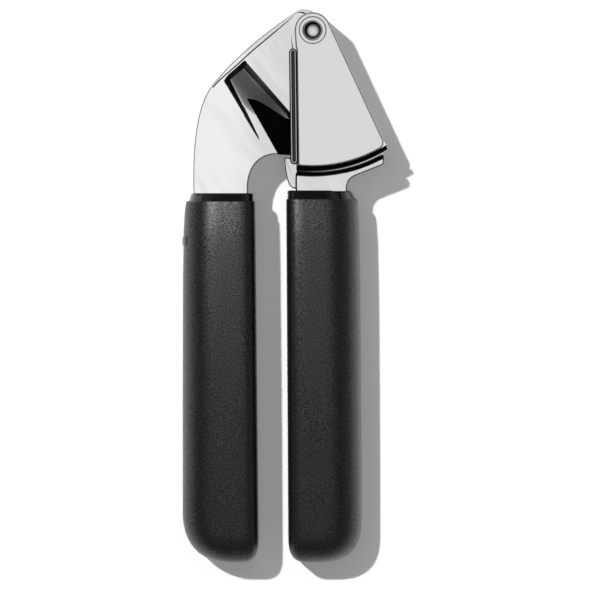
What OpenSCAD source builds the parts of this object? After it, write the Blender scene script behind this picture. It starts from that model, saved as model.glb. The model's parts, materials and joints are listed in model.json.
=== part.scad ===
// Garlic press with soft grips, closed and lying on its side.
// The pivot axis stands upright, the head points to +Y and the hopper arm is on the +X side.
// Outlines are drawn round the pivot axis, in the middle plane of the press.

/* [Overall] */
// Thickness of the grips, which is the thickness of the whole press
grip_t = 30; // [28:0.5:34]
// Distance of the pivot axis from the middle of the press, across it
pivot_x = 8.71; // [8:0.01:9.5]
// Distance of the pivot axis from the middle of the press, along it
pivot_y = 82.4; // [80:0.1:85]

/* [Hopper] */
// Half the width of the hopper, inside its cheeks
chamber_half = 10.5; // [10.5:0.1:11.5]
// Thickness of each cheek plate
cheek_t = 2; // [1.6:0.1:2.4]
// Radius of the ear round the pivot
ear_r = 5.8; // [5.5:0.1:6.5]
// Radius of the cheek's curved lower edge
cheek_r = 43.9; // [43.7:0.1:44.1]
// Radius of the corner between a cheek's curved edge and its straight edge
cheek_corner_r = 2.2; // [1:0.1:3]
// Inner radius of the curved end wall
wall_in_r = 41.5; // [41.5:0.1:42]
// Inner radius of the rim that stands up from the end wall
rim_in_r = 45.1; // [44.8:0.1:45.3]
// Outer radius of the end wall and its rim
wall_out_r = 46; // [45.8:0.1:46.2]
// Radius at which the hopper arm's flat face starts
arm_face_r = 47.1; // [46.8:0.1:47.4]
// Direction of the pressing screen, in degrees
screen_angle = -65.1; // [-66:0.1:-64]

/* [Pressing screen] */
// Thickness of the screen
screen_t = 1.5; // [1.2:0.1:1.6]
// Distance of the screen's upper edge from the pivot
screen_start = 9.4; // [9.4:0.1:11]
// Radius of the screen's holes
screen_hole_r = 0.85; // [0.6:0.05:1]
// Distance between neighbouring holes
screen_pitch = 2.9; // [2.7:0.05:3.1]

/* [Lever] */
// Half the thickness of the lever
lever_half = 10.18; // [10:0.02:10.3]
// Radius of the lever's nose round the pivot
nose_r = 5.75; // [5.25:0.05:5.8]
// Depth of the long scoop in each face of the lever
scoop_d = 3; // [2:0.1:3.5]
// Depth of the well at the scoop's lower end
well_d = 6.6; // [4:0.1:7]
// Radius swept by the plunger's tip
plunger_r = 41.2; // [41:0.05:41.2]

/* [Pivot] */
// Radius of the pivot pin
pin_r = 2.5; // [2.3:0.1:2.7]
// Running clearance between the pin and its bush
pin_gap = 0.05; // [0.02:0.01:0.08]
// Outer radius of the bush
bush_r = 4; // [3.6:0.1:4.4]
// Radius of the washers under the riveted ends
washer_r = 4.4; // [4.1:0.1:4.6]

/* [Handles] */
// Wall of the soft grips
grip_wall = 3; // [2:0.1:3.5]
// Radius of the corners of a grip's section
grip_corner_r = 9.5; // [7:0.5:11]
// Half the thickness of the tangs
tang_half = 4.5; // [3.5:0.1:5]

/* [Hidden] */
$fn = 96;

eps = 0.01;
far = 80;
mid_z = grip_t / 2;

// Levels, measured from the middle plane
cheek_half = chamber_half + cheek_t;
ledge_half = chamber_half + 0.8;
rim_half = cheek_half - 0.6;
rail_half = cheek_half - 0.2;
arm_half = cheek_half - 0.3;
washer_t = 0.8;
washer_in = cheek_half - washer_t;

// Riveted ends of the pivot pin
neck_r = 1.75;
dome_r = 2.05;
dome_h = 0.45;
dome_in = washer_in + 0.3;
dome_gap = 0.5;
spacer_gap = 0.02;
spacer_wall = 0.8;

// Dowels that fix the cheeks and the hopper arm to the end wall
dowel_r = 1;
dowel_turns = [-88, -71];
dowel_at_r = 42.7;
dowel_in = chamber_half - 3;
dowel_half = chamber_half + 1.2;
arm_dowel_r = 1.4;
arm_dowel_l = 7;
arm_dowel_x = [0, 8];
arm_dowel_y = -43;

// Screws that hold the plunger on the lever, counted along the screen
screw_r = 1.5;
screw_head_r = 2.8;
screw_head_h = 1.4;
screw_l = 17;
screw_slot = [0.8, 3.6, 1.4];
screw_steps = [18, 33];

// Mouth of the hopper: the cheek's edge and the rail beside it
mouth_x = -5;
ledge_x = -7.6;
rail_top = [-6.35, -7.15];
rail_bottom = [-5.95, -41.9];
rail_r = 1.25;
rail_groove_r = 0.55;
rail_groove_d = 0.6;

// The screen's own frame: x runs along the screen and y runs out of the hopper
screen_out = ear_r - 0.6;
screen_in = screen_out - screen_t;
screen_end = 43.5;
screen_half = chamber_half + 0.8;
screen_edge = 1.6;
screen_first = screen_start + 1.9;
screen_row = screen_pitch * sin(60);
plunger_face = screen_in - 0.4;
plunger_back = -9;
plunger_start = 11;
scoop_end = -15;

// Right arm, below the hopper
neck_left = -5.5;
neck_right = 11.05;
neck_end = -51.6;
fillet_c = [15, -50.6];
fillet_r = 3.95;
fillet_top = 111.7;
flange_end = [22.95, -43.2];
arm_top_y = -36;
lip = [[-4.8, -38], [-9.1, -40.9], [-8.9, -43.6], [-8, -46.8], [-6.9, -49.2], [-5.5, -50.8]];
lip_half = 6.5;

// Left arm: outer edge as three curves, inner edge as a superellipse
lever_end = -52.5;
edge_low = [[-38.4, lever_end], [-39.1, -28.7], [-34.8, -21.4], [-33.5, -19.4]];
edge_high = [[-33.5, -19.4], [-28.5, -11.6], [-14.6, 0.35], [-4.6, 6.35]];
nose_tip = [[-4.6, 6.35], [-3.6, 6.95], [-1.6, 6.85], [0.6, nose_r - 0.03]];
plunger_margin = 0.6;
throat_c = [-11.1, -51.3];
throat_a = 9.7;
throat_b = 11.3;
throat_n = 2.3;
lever_tip_r = 40.8;
scoop = [[-21.8, -9.8], [-25.6, -12.3], [-28.5, -16.4], [-16.7, -36.4], [-13.8, -46]];
well = [[-20.6, -22.6], [-16.9, -30.4], [-11.6, -39.2], [-9, -46]];

// Handles: inner edge and outer edge at the top, near the top and at the bottom
bottom_y = -171.5;
right_top = -54.3;
left_top = -55;
right_edges = [[-8.5, right_top], [-7.8, bottom_y], [15.9, bottom_y], [15.9, -150], [15, -62],
               [14.4, right_top]];
left_edges = [[-18.5, left_top], [-17.3, bottom_y], [-41.7, bottom_y], [-41.7, -150], [-41.6, -64],
              [-40.8, left_top]];
right_collar = [[-8.1, neck_end], [-8.1, right_top], [14, right_top], [12.4, neck_end]];
left_collar = [[-18.9, lever_end], [-18.9, left_top], [-39.9, left_top], [-39.1, lever_end]];
outer_corner = [15, 15, 2.6];
inner_corner = [7, 9, 3];
end_corner = [9, 10, 2.4];
collar_inset = 1.4;
tang_l = 60;
tang_pin_r = 1.5;
tang_pin_steps = [14, 44];
right_tang_x = [-2.5, 9];
left_tang_x = [-35.5, -24];
badge_y = -67.9;
badge_r = 1.75;
badge_z = [1.5, 7];
badge_proud = 0.3;
badge_t = 1;

// ---- Curves -------------------------------------------------------------------------------

// Point at t on a cubic curve with four control points
function cubic(c, t) =
    pow(1 - t, 3) * c[0] + 3 * pow(1 - t, 2) * t * c[1] + 3 * (1 - t) * t * t * c[2] + pow(t, 3) * c[3];

function curve(c, steps = 14) = [for (i = [0:steps]) cubic(c, i / steps)];

// Quarter of a superellipse from the angle a0 to a1, with half axes a and b and exponent n
function quarter(c, a, b, n, a0, a1, steps = 12) =
    [for (i = [0:steps])
        let (w = a0 + (a1 - a0) * i / steps)
        [c[0] + sign(cos(w)) * a * pow(abs(cos(w)), 2 / n),
         c[1] + sign(sin(w)) * b * pow(abs(sin(w)), 2 / n)]];

// A point given along the screen and out of it, in the pivot's frame
function off_screen(along, out) =
    [along * cos(screen_angle) - out * sin(screen_angle),
     along * sin(screen_angle) + out * cos(screen_angle)];

// ---- Helpers ------------------------------------------------------------------------------

module at_pivot() translate([pivot_x, pivot_y, mid_z]) children();

module along_screen() rotate([0, 0, screen_angle]) children();

// A flat shape made into a plate that is even on both sides of the middle plane
module slab(half) translate([0, 0, -half]) linear_extrude(2 * half) children();

// A flat shape made into a plate between two levels
module layer(low, high) translate([0, 0, low]) linear_extrude(high - low) children();

module both_sides() {
    children();
    mirror([0, 0, 1]) children();
}

module ring(inner, outer) {
    difference() {
        circle(outer);
        circle(inner);
    }
}

// A slot-shaped outline between two points, with round ends
module stadium(p, q, r) {
    d = q - p;
    translate(p) circle(r);
    translate(q) circle(r);
    translate(p) rotate(atan2(d[1], d[0])) translate([0, -r]) square([norm(d), 2 * r]);
}

module round_rect(w, t, r) {
    square([w - 2 * r, t], center = true);
    square([w, t - 2 * r], center = true);
    for (x = [-1, 1], y = [-1, 1])
        translate([x * (w / 2 - r), y * (t / 2 - r)]) circle(r);
}

// ---- Hopper -------------------------------------------------------------------------------

// Everything between the mouth and the screen's side, from the line x = left
module sector(left) {
    polygon([[left, 0], [left, -far], off_screen(far, ear_r), off_screen(0, ear_r)]);
}

// What is cut off at the cheek's outer corner to round it
module corner_cut() {
    r = cheek_corner_r;
    out = ear_r - r;
    along = sqrt(pow(cheek_r - r, 2) - pow(out, 2));
    reach = 4 * r;
    rotate(screen_angle) translate([along, out]) difference() {
        polygon([[0, 0], [0, reach], [reach, reach], reach * [along, out] / norm([along, out])]);
        circle(r);
    }
}

module cheek_outline(left) {
    circle(ear_r);
    difference() {
        intersection() {
            circle(cheek_r);
            sector(left);
        }
        corner_cut();
        translate([left - eps, rail_top[1] + rail_r]) square([mouth_x - left + eps, far]);
    }
    translate([-ear_r, rail_top[1] + rail_r]) square([ear_r, -rail_top[1] - rail_r]);
}

module cheek() {
    difference() {
        union() {
            layer(chamber_half, ledge_half) cheek_outline(ledge_x);
            layer(ledge_half - eps, cheek_half) cheek_outline(mouth_x);
        }
        cylinder(r = pin_r, h = far);
        translate([0, 0, cheek_half - washer_t]) cylinder(r = washer_r, h = far);
        screen_blank();
        dowel_places() cylinder(r = dowel_r, h = dowel_half);
        layer(ledge_half, far) rail_outline();
    }
}

module front_cheek() color("gainsboro") at_pivot() cheek();

module rear_cheek() color("gainsboro") at_pivot() mirror([0, 0, 1]) cheek();

module rail_outline() stadium(rail_top, rail_bottom, rail_r);

module mouth_rail() {
    difference() {
        layer(ledge_half, rail_half) rail_outline();
        layer(rail_half - rail_groove_d, far) stadium(rail_top, rail_bottom, rail_groove_r);
    }
}

module mouth_rails() color("silver") at_pivot() both_sides() mouth_rail();

module hopper_wall() {
    color("lightgray") at_pivot() difference() {
        union() {
            slab(chamber_half) intersection() {
                ring(wall_in_r, wall_out_r);
                sector(mouth_x);
            }
            slab(rim_half) intersection() {
                ring(rim_in_r, wall_out_r);
                sector(mouth_x);
            }
        }
        screen_blank();
        both_sides() dowel_places() translate([0, 0, dowel_in]) cylinder(r = dowel_r, h = far);
        arm_dowel_places() arm_dowel();
    }
}

module dowel_places() {
    for (turn = dowel_turns)
        rotate(turn) translate([dowel_at_r, 0, 0]) children();
}

module cheek_dowels() {
    color("dimgray") at_pivot() both_sides() dowel_places()
        translate([0, 0, dowel_in]) cylinder(r = dowel_r, h = dowel_half - dowel_in);
}

// ---- Pressing screen ----------------------------------------------------------------------

module screen_blank() {
    along_screen() translate([screen_start, screen_in, -screen_half])
        cube([screen_end - screen_start, screen_t, 2 * screen_half]);
}

module screen_holes() {
    rows = floor((chamber_half - screen_edge) / screen_row);
    columns = floor((wall_in_r - screen_start - 2 * screen_edge) / screen_pitch);
    for (row = [-rows:rows], column = [0:columns - abs(row % 2)])
        translate([screen_first + screen_pitch * (column + abs(row % 2) / 2),
                   screen_out + 1, row * screen_row])
            rotate([90, 0, 0]) cylinder(r = screen_hole_r, h = screen_t + 2, $fn = 24);
}

module screen_plate() {
    color("silver") at_pivot() difference() {
        screen_blank();
        along_screen() screen_holes();
    }
}

// ---- Hopper arm ---------------------------------------------------------------------------

module arm_outline(inner_r) {
    difference() {
        polygon([[neck_left, arm_top_y], [neck_left, neck_end], [neck_right, neck_end],
                 [neck_right, fillet_c[1]], fillet_c,
                 fillet_c + fillet_r * [cos(fillet_top), sin(fillet_top)],
                 flange_end, [flange_end[0], arm_top_y]]);
        circle(inner_r);
        translate(fillet_c) circle(fillet_r);
    }
}

module lip_outline() {
    difference() {
        polygon(concat(lip, [[neck_left + eps, -50.8], [neck_left + eps, -46]],
                       [[mouth_x, -45.7], [mouth_x, -38]]));
        circle(wall_in_r);
    }
}

module tang(x_edges, top_y) {
    w = x_edges[1] - x_edges[0];
    slab(tang_half) translate([x_edges[0], top_y - tang_l]) square([w, tang_l + eps]);
}

module hopper_arm() {
    color("gainsboro") at_pivot() difference() {
        union() {
            slab(chamber_half) arm_outline(wall_out_r);
            slab(arm_half) arm_outline(arm_face_r);
            slab(lip_half) lip_outline();
            tang(right_tang_x, neck_end);
        }
        arm_dowel_places() arm_dowel();
        tang_pin_places(right_tang_x, neck_end) tang_pin();
    }
}

module arm_dowel_places() {
    for (x = arm_dowel_x)
        translate([x, arm_dowel_y, 0]) rotate([90, 0, 0]) children();
}

module arm_dowel() cylinder(r = arm_dowel_r, h = arm_dowel_l);

module arm_dowels() color("dimgray") at_pivot() arm_dowel_places() arm_dowel();

// ---- Pivot --------------------------------------------------------------------------------

// Half of the pin's outline: shank, neck and domed end
module pin_profile() {
    dome_curve = (dome_r * dome_r + dome_h * dome_h) / (2 * dome_h);
    square([pin_r, washer_in]);
    square([neck_r, dome_in]);
    translate([0, dome_in - eps]) intersection() {
        translate([0, dome_h - dome_curve]) circle(dome_curve);
        square([dome_r, dome_h + eps]);
    }
}

module pivot_pin() color("silver") at_pivot() both_sides() rotate_extrude() pin_profile();

module pivot_washers() {
    color("gainsboro") at_pivot() both_sides() difference() {
        translate([0, 0, washer_in]) cylinder(r = washer_r, h = washer_t);
        cylinder(r = neck_r, h = far);
        translate([0, 0, dome_in]) cylinder(r = dome_r + dome_gap, h = far);
    }
}

module spacer_washers() {
    color("white") at_pivot() both_sides()
        layer(lever_half + spacer_gap, chamber_half) ring(pin_r, bush_r + spacer_wall);
}

module pivot_bush() color("tan") at_pivot() slab(lever_half) ring(pin_r + pin_gap, bush_r);

// ---- Lever --------------------------------------------------------------------------------

module lever_outline() {
    difference() {
        union() {
            circle(nose_r);
            polygon(concat(
                curve(edge_low), curve(edge_high), curve(nose_tip, 8),
                [off_screen(0, ear_r - 2), off_screen(10, plunger_back)],
                [off_screen(far / 2 - plunger_margin, plunger_back)],
                [for (turn = [-82:-6:-100]) lever_tip_r * [cos(turn), sin(turn)]],
                quarter(throat_c, throat_a, throat_b, throat_n, 90, 180),
                [[throat_c[0] - throat_a, lever_end]]));
        }
        circle(bush_r);
    }
}

// The scoop runs on under the cheek to a line short of the plunger
module scoop_outline(corners) {
    polygon(concat(corners, [off_screen(far / 2, scoop_end - 2), off_screen(far / 2 - 2, scoop_end),
                             off_screen(18, scoop_end)]));
}

module press_lever() {
    color("whitesmoke") at_pivot() difference() {
        union() {
            slab(lever_half) lever_outline();
            tang(left_tang_x, lever_end);
        }
        both_sides() {
            layer(lever_half - scoop_d, far) scoop_outline(scoop);
            layer(lever_half - well_d, far) scoop_outline(well);
        }
        along_screen() screw_places() plunger_screw();
        tang_pin_places(left_tang_x, lever_end) tang_pin();
    }
}

module plunger_block() {
    color("silver") at_pivot() difference() {
        slab(lever_half) intersection() {
            circle(plunger_r);
            rotate(screen_angle) translate([plunger_start, plunger_back])
                square([far, plunger_face - plunger_back]);
        }
        along_screen() screw_places() plunger_screw();
    }
}

module screw_places() {
    for (along = screw_steps)
        translate([along, plunger_face, 0]) rotate([90, 0, 0]) children();
}

// Countersunk screw, its head flush with the plunger's face
module plunger_screw() {
    rotate_extrude() polygon([[0, 0], [screw_head_r, 0], [screw_r, screw_head_h],
                              [screw_r, screw_l], [0, screw_l]]);
}

module plunger_screws() {
    color("dimgray") at_pivot() along_screen() screw_places() difference() {
        plunger_screw();
        cube(screw_slot, center = true);
    }
}

// ---- Handles ------------------------------------------------------------------------------

// Plan of a grip, its lower corners rounded by superellipses and its walls moved in by inset
module grip_plan(edges, inset, over) {
    side = sign(edges[3][0] - edges[0][0]);
    inner = edges[1][0] + side * inset;
    outer = edges[2][0] - side * inset;
    low = bottom_y + inset;
    a_out = outer_corner[0] - inset;
    b_out = outer_corner[1] - inset;
    a_in = inner_corner[0] - inset;
    b_in = inner_corner[1] - inset;
    top = edges[0][1] + over;
    polygon(concat(
        [[edges[0][0] + side * inset, top]],
        [for (p = quarter([0, 0], a_in, b_in, inner_corner[2], 180, 270))
            [inner + side * (a_in + p[0]), low + b_in + p[1]]],
        [for (p = quarter([0, 0], a_out, b_out, outer_corner[2], 270, 360))
            [outer - side * (a_out - p[0]), low + b_out + p[1]]],
        [[edges[3][0] - side * inset, edges[3][1]],
         [edges[4][0] - side * inset, edges[4][1]],
         [edges[5][0] - side * inset, edges[5][1]],
         [edges[5][0] - side * inset, top]]));
}

// Side view of a grip: even thickness, rounded at the lower end
module grip_side(edges, inset, over) {
    half = grip_t / 2 - inset;
    low = bottom_y + inset;
    a = end_corner[0] - inset;
    b = end_corner[1] - inset;
    top = edges[0][1] + over;
    lower = [for (p = quarter([0, 0], a, b, end_corner[2], 270, 360)) [half - a + p[0], low + b + p[1]]];
    polygon(concat(
        [for (i = [len(lower) - 1:-1:0]) [-lower[i][0], lower[i][1]]],
        lower, [[half, top], [-half, top]]));
}

// A grip's outer shape, moved in by inset: plan, side view and section meet in one solid
module grip_shape(edges, inset = 0, over = 0) {
    xs = [for (p = edges) p[0]];
    low_x = min(xs);
    high_x = max(xs);
    intersection() {
        slab(far) grip_plan(edges, inset, over);
        translate([-far, 0, 0]) rotate([0, 90, 0]) linear_extrude(2 * far)
            grip_side(edges, inset, over);
        translate([(low_x + high_x) / 2, far, 0]) rotate([90, 0, 0]) linear_extrude(4 * far)
            round_rect(high_x - low_x - 2 * inset, grip_t - 2 * inset, grip_corner_r - inset);
    }
}

module collar(edges, outline) {
    xs = [for (p = edges) p[0]];
    intersection() {
        slab(far) polygon(outline);
        translate([(min(xs) + max(xs)) / 2, far, 0]) rotate([90, 0, 0]) linear_extrude(4 * far)
            round_rect(max(xs) - min(xs), grip_t - 2 * collar_inset, grip_corner_r - collar_inset);
    }
}

module core(edges, outline, tang_x) {
    top_y = outline[0][1];
    difference() {
        union() {
            grip_shape(edges, grip_wall);
            collar(edges, outline);
        }
        tang(tang_x, top_y);
        tang_pin_places(tang_x, top_y) tang_pin();
    }
}

module grip(edges) {
    difference() {
        grip_shape(edges);
        grip_shape(edges, grip_wall, over = 1);
    }
}

module tang_pin_places(tang_x, top_y) {
    for (step = tang_pin_steps)
        translate([(tang_x[0] + tang_x[1]) / 2, top_y - step, 0]) children();
}

module tang_pin() cylinder(r = tang_pin_r, h = grip_t - 2 * grip_wall, center = true);

module right_core() color("black") at_pivot() core(right_edges, right_collar, right_tang_x);

module right_grip() color("darkslategray") at_pivot() grip(right_edges);

module right_tang_pins() color("gray") at_pivot() tang_pin_places(right_tang_x, neck_end) tang_pin();

module left_core() color("black") at_pivot() core(left_edges, left_collar, left_tang_x);

module badge() {
    translate([left_edges[4][0] - badge_proud, 0, 0]) rotate([0, 90, 0]) linear_extrude(badge_t)
        stadium([-badge_z[1], badge_y], [-badge_z[0], badge_y], badge_r);
}

module left_grip() {
    color("darkslategray") at_pivot() difference() {
        grip(left_edges);
        badge();
    }
}

module left_tang_pins() color("gray") at_pivot() tang_pin_places(left_tang_x, lever_end) tang_pin();

module grip_badge() color("dimgray") at_pivot() badge();

// ---- Nodes --------------------------------------------------------------------------------

front_cheek();
rear_cheek();
mouth_rails();
hopper_wall();
cheek_dowels();
screen_plate();
hopper_arm();
arm_dowels();
pivot_pin();
pivot_washers();
spacer_washers();
pivot_bush();
press_lever();
plunger_block();
plunger_screws();
right_core();
right_grip();
right_tang_pins();
left_core();
left_grip();
left_tang_pins();
grip_badge();
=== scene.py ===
import json
import math

import bpy
import numpy as np
from bpy.props import FloatProperty, FloatVectorProperty, PointerProperty
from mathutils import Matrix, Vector

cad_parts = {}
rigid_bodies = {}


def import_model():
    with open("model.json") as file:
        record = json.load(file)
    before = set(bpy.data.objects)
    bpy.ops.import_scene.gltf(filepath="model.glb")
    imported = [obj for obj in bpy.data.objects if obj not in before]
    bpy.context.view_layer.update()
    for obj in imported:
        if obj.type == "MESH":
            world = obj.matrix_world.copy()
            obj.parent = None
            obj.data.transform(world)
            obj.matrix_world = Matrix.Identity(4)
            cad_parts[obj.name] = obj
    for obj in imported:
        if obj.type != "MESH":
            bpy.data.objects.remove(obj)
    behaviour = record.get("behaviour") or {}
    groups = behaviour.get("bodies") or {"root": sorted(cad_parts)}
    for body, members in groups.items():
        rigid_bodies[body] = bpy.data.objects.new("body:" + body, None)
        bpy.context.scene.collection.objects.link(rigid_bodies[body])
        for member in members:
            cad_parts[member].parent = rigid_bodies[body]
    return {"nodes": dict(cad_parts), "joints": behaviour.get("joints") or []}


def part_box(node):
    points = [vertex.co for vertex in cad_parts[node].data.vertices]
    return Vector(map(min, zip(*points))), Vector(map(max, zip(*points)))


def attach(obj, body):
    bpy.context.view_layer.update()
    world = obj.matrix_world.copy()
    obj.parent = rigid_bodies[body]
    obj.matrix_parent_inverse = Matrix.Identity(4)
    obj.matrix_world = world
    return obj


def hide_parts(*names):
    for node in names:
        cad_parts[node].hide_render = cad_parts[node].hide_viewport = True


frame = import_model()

bl_info = {
    "name": "Garlic press",
    "version": (1, 0, 0),
    "blender": (4, 5, 0),
    "location": "3D Viewport > Sidebar > Press",
    "description": "Builds a hinged garlic press with soft grips round its packed frame",
    "category": "Object",
}

# Lengths below are in millimetres from the pivot axis and from the middle plane of the press
MM = 0.001
PIVOT = np.array(frame["joints"][0]["pos_m"]) / MM
HOPPER_SIDE = "hopper_side"
LEVER_SIDE = "lever_side"
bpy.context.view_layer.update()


def half_of(node):
    """Half the thickness of a node that is even on both sides of the middle plane."""
    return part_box(node)[1].z / MM - PIVOT[2]


# Levels above the middle plane
CHEEK_T = 2.0
CHEEK_TOP = half_of("front_cheek")
CHAMBER_HALF = CHEEK_TOP - CHEEK_T
SEAT_LEVEL = CHEEK_TOP - 0.8
RIM_TOP = half_of("hopper_wall")
ARM_TOP = half_of("hopper_arm")
LEVER_TOP = half_of("pivot_bush")
GRIP_HALF = half_of("right_grip")
GROOVE_FLOOR = 8.4
TANG_HALF = 4.5

# Radii from the pivot axis
PIN_R = 2.5
SEAT_R = 4.4
NOSE_R = 5.75
EAR_R = 5.8
TIP_R = 40.8
WALL_IN_R = 41.5
CHEEK_R = 43.9
RIM_IN_R = 45.1
WALL_OUT_R = 46.0
ARM_FACE_R = 46.9

# The screen's direction from the pivot, in degrees from +X, and the two ends of the mouth's edge
SCREEN_TURN = -65.1
MOUTH_TOP = (-5.15, -6.1)
MOUTH_END = (-4.66, -43.65)

# Where the two castings end at the handles' collars
NECK_END = -51.6
LEVER_END = -52.5


def linear(hex_colour):
    """An sRGB hex colour as linear red, green and blue."""
    parts = [int(hex_colour[i:i + 2], 16) / 255 for i in (1, 3, 5)]
    return tuple(c / 12.92 if c <= 0.04045 else ((c + 0.055) / 1.055) ** 2.4 for c in parts)


# ---- Curves in a plane ---------------------------------------------------------------------

def turned(degrees):
    """Unit vector at an angle."""
    return np.array([math.cos(math.radians(degrees)), math.sin(math.radians(degrees))])


def arc(centre, radius, start, end, steps=24):
    """Points on a circle from one angle to another, both in degrees."""
    w = np.radians(np.linspace(start, end, steps + 1))
    return np.array(centre) + radius * np.stack([np.cos(w), np.sin(w)], 1)


def superellipse(centre, a, b, n, start, end, steps=24):
    """Points with x = a cos^(2/n) and y = b sin^(2/n) of an angle that runs from start to end."""
    w = np.radians(np.linspace(start, end, steps + 1))
    c, s = np.cos(w), np.sin(w)
    power = 2.0 / n
    return np.array(centre) + np.stack(
        [a * np.sign(c) * np.abs(c) ** power, b * np.sign(s) * np.abs(s) ** power], 1)


def cubic(controls, steps=40):
    """Cubic curve with four control points, each weighted by its Bernstein polynomial."""
    t = np.linspace(0, 1, steps + 1)[:, None]
    c = np.array(controls, float)
    return (1 - t) ** 3 * c[0] + 3 * (1 - t) ** 2 * t * c[1] + 3 * (1 - t) * t ** 2 * c[2] + t ** 3 * c[3]


def lengths(points):
    """Length along a line of points, up to each point."""
    return np.concatenate([[0], np.cumsum(np.linalg.norm(np.diff(points, axis=0), axis=1))])


def at_length(points, where):
    """Points at given lengths along a line of points, by straight interpolation."""
    along = lengths(points)
    return np.stack([np.interp(where, along, points[:, k]) for k in range(points.shape[1])], 1)


def spaced(points, step, closed=False):
    """The same line with even spacing close to step."""
    if closed:
        points = np.vstack([points, points[:1]])
    total = lengths(points)[-1]
    count = max(int(round(total / step)), 2)
    made = at_length(points, np.linspace(0, total, count + 1))
    return made[:-1] if closed else made


def joined(*lines):
    """Lines of points one after another, with repeated points left out."""
    points = np.vstack([np.atleast_2d(line) for line in lines])
    apart = np.linalg.norm(points - np.roll(points, 1, axis=0), axis=1) > 1e-4
    return points[apart]


def softened(outline, width, step=0.3):
    """The outline with its corners rounded: a moving mean of the given width, run twice along it."""
    fine = spaced(outline, 0.04, closed=True)
    reach = max(int(width / 0.08), 1)
    for _ in range(2):
        wrapped = np.vstack([fine[-reach:], fine, fine[:reach]])
        total = np.vstack([[[0.0, 0.0]], np.cumsum(wrapped, axis=0)])
        fine = (total[2 * reach + 1:] - total[:-2 * reach - 1]) / (2 * reach + 1)
    return spaced(fine, step, closed=True)


def off_screen(along, out):
    """A point given along the screen from the pivot and out of it."""
    return along * turned(SCREEN_TURN) + out * turned(SCREEN_TURN + 90)


def miters(outline):
    """Inward offset per millimetre at each corner of an anticlockwise outline:
    the sum of the two edges' inward normals over one plus their product."""
    edge = np.roll(outline, -1, axis=0) - outline
    edge /= np.linalg.norm(edge, axis=1)[:, None]
    after = np.stack([-edge[:, 1], edge[:, 0]], 1)
    before = np.roll(after, 1, axis=0)
    return (before + after) / np.maximum(1 + (before * after).sum(1), 0.35)[:, None]


def stacked(outline, profile):
    """Rings of an outline: each (inset, level) of the profile moves it inwards and sets its height."""
    inward = miters(outline)
    steps = np.array(profile, float)
    flat = outline[None] + steps[:, 0, None, None] * inward[None]
    level = np.broadcast_to(steps[:, 1, None, None], flat.shape[:2] + (1,))
    return np.concatenate([flat, level], 2)


def rounded(low, high, radius, steps=5, support=0.12):
    """Profile for stacked(): a wall from low to high with quarter-round edges and a flat ring beside each."""
    w = np.radians(np.linspace(0, 90, steps + 1))
    top = np.stack([radius * (1 - np.cos(w)), high - radius * (1 - np.sin(w))], 1)
    top = np.vstack([top, [radius + support, high]])
    bottom = np.stack([top[::-1, 0], low + high - top[::-1, 1]], 1)
    return np.vstack([bottom, top])


def smooth_step(t):
    """0 below 0, 1 above 1, and 3t^2 - 2t^3 between."""
    t = np.clip(t, 0, 1)
    return t * t * (3 - 2 * t)


# ---- Meshes --------------------------------------------------------------------------------

CREASE = math.radians(38)


def shell(points, loop=False):
    """Points, quads and end faces over a grid of rings that each close on themselves. The outside is on the
    right of a ring's direction, seen along the stack. With loop the last ring joins the first."""
    rows, columns = points.shape[:2]
    i = np.arange(rows if loop else rows - 1)[:, None]
    j = np.arange(columns)[None]
    up, right = (i + 1) % rows, (j + 1) % columns
    quads = np.stack(np.broadcast_arrays(i * columns + j, i * columns + right,
                                         up * columns + right, up * columns + j), -1)
    first = np.arange(columns)
    ends = [] if loop else [first[::-1], first + (rows - 1) * columns]
    return points.reshape(-1, 3), quads.reshape(-1, 4), ends


def mirrored(points):
    """The same rings on the other side of the middle plane, in the order that keeps the outside outside."""
    return points[::-1] * np.array([1.0, 1.0, -1.0])


def lathe(profile, steps=96):
    """Rings round the pivot axis: each (radius, level) of the profile is one circle, anticlockwise."""
    w = np.linspace(0, 2 * np.pi, steps, endpoint=False)
    r, z = np.array(profile, float).T
    return np.stack([r[:, None] * np.cos(w), r[:, None] * np.sin(w),
                     np.broadcast_to(z[:, None], (len(r), steps))], 2)


def centres(shells):
    """The middle of every face, in the order that piece() makes the faces: the mean of its corners."""
    return np.vstack([middle for points, quads, ends in shells
                      for middle in (points[quads].mean(1), *(points[end].mean(0) for end in ends))])


def piece(name, shells, body, slot_name, material, *nodes, others=(), marks=()):
    """One object from closed shells, smooth but for edges sharper than CREASE, riding on a body.
    Marks give the first faces' materials: 0 for the main one and 1 upwards for the others."""
    vertices, faces, start = [], [], 0
    for points, quads, ends in shells:
        vertices.append(points)
        faces += (quads + start).tolist() + [(end + start).tolist() for end in ends]
        start += len(points)
    mesh = bpy.data.meshes.new(name)
    mesh.from_pydata((np.vstack(vertices) + PIVOT) * MM, [], faces)
    mesh.polygons.foreach_set("use_smooth", np.ones(len(faces), bool))
    mesh.set_sharp_from_angle(angle=CREASE)
    for finish in (material, *others):
        mesh.materials.append(finish)
    index = np.zeros(len(faces), np.int32)
    index[:len(marks)] = marks
    mesh.polygons.foreach_set("material_index", index)
    made = bpy.data.objects.new(name, mesh)
    bpy.context.scene.collection.objects.link(made)
    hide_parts(*nodes)
    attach(made, body)
    return made


# ---- Materials -----------------------------------------------------------------------------

def add(tree, kind, inputs=(), **settings):
    """Adds a node with its settings. Each input gets a value, or a link from a socket or a node's first."""
    made = tree.nodes.new(kind)
    for key, value in settings.items():
        setattr(made, key, value)
    for key, value in dict(inputs).items():
        if isinstance(value, bpy.types.Node):
            value = value.outputs[0]
        if isinstance(value, bpy.types.NodeSocket):
            tree.links.new(value, made.inputs[key])
        else:
            made.inputs[key].default_value = value
    return made


def blank(name):
    """An empty material. Returns it with its node tree and its object coordinates, which are in metres."""
    made = bpy.data.materials.new(name)
    made.use_nodes = True
    made.node_tree.nodes.clear()
    return made, made.node_tree, add(made.node_tree, "ShaderNodeTexCoord").outputs["Object"]


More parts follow.
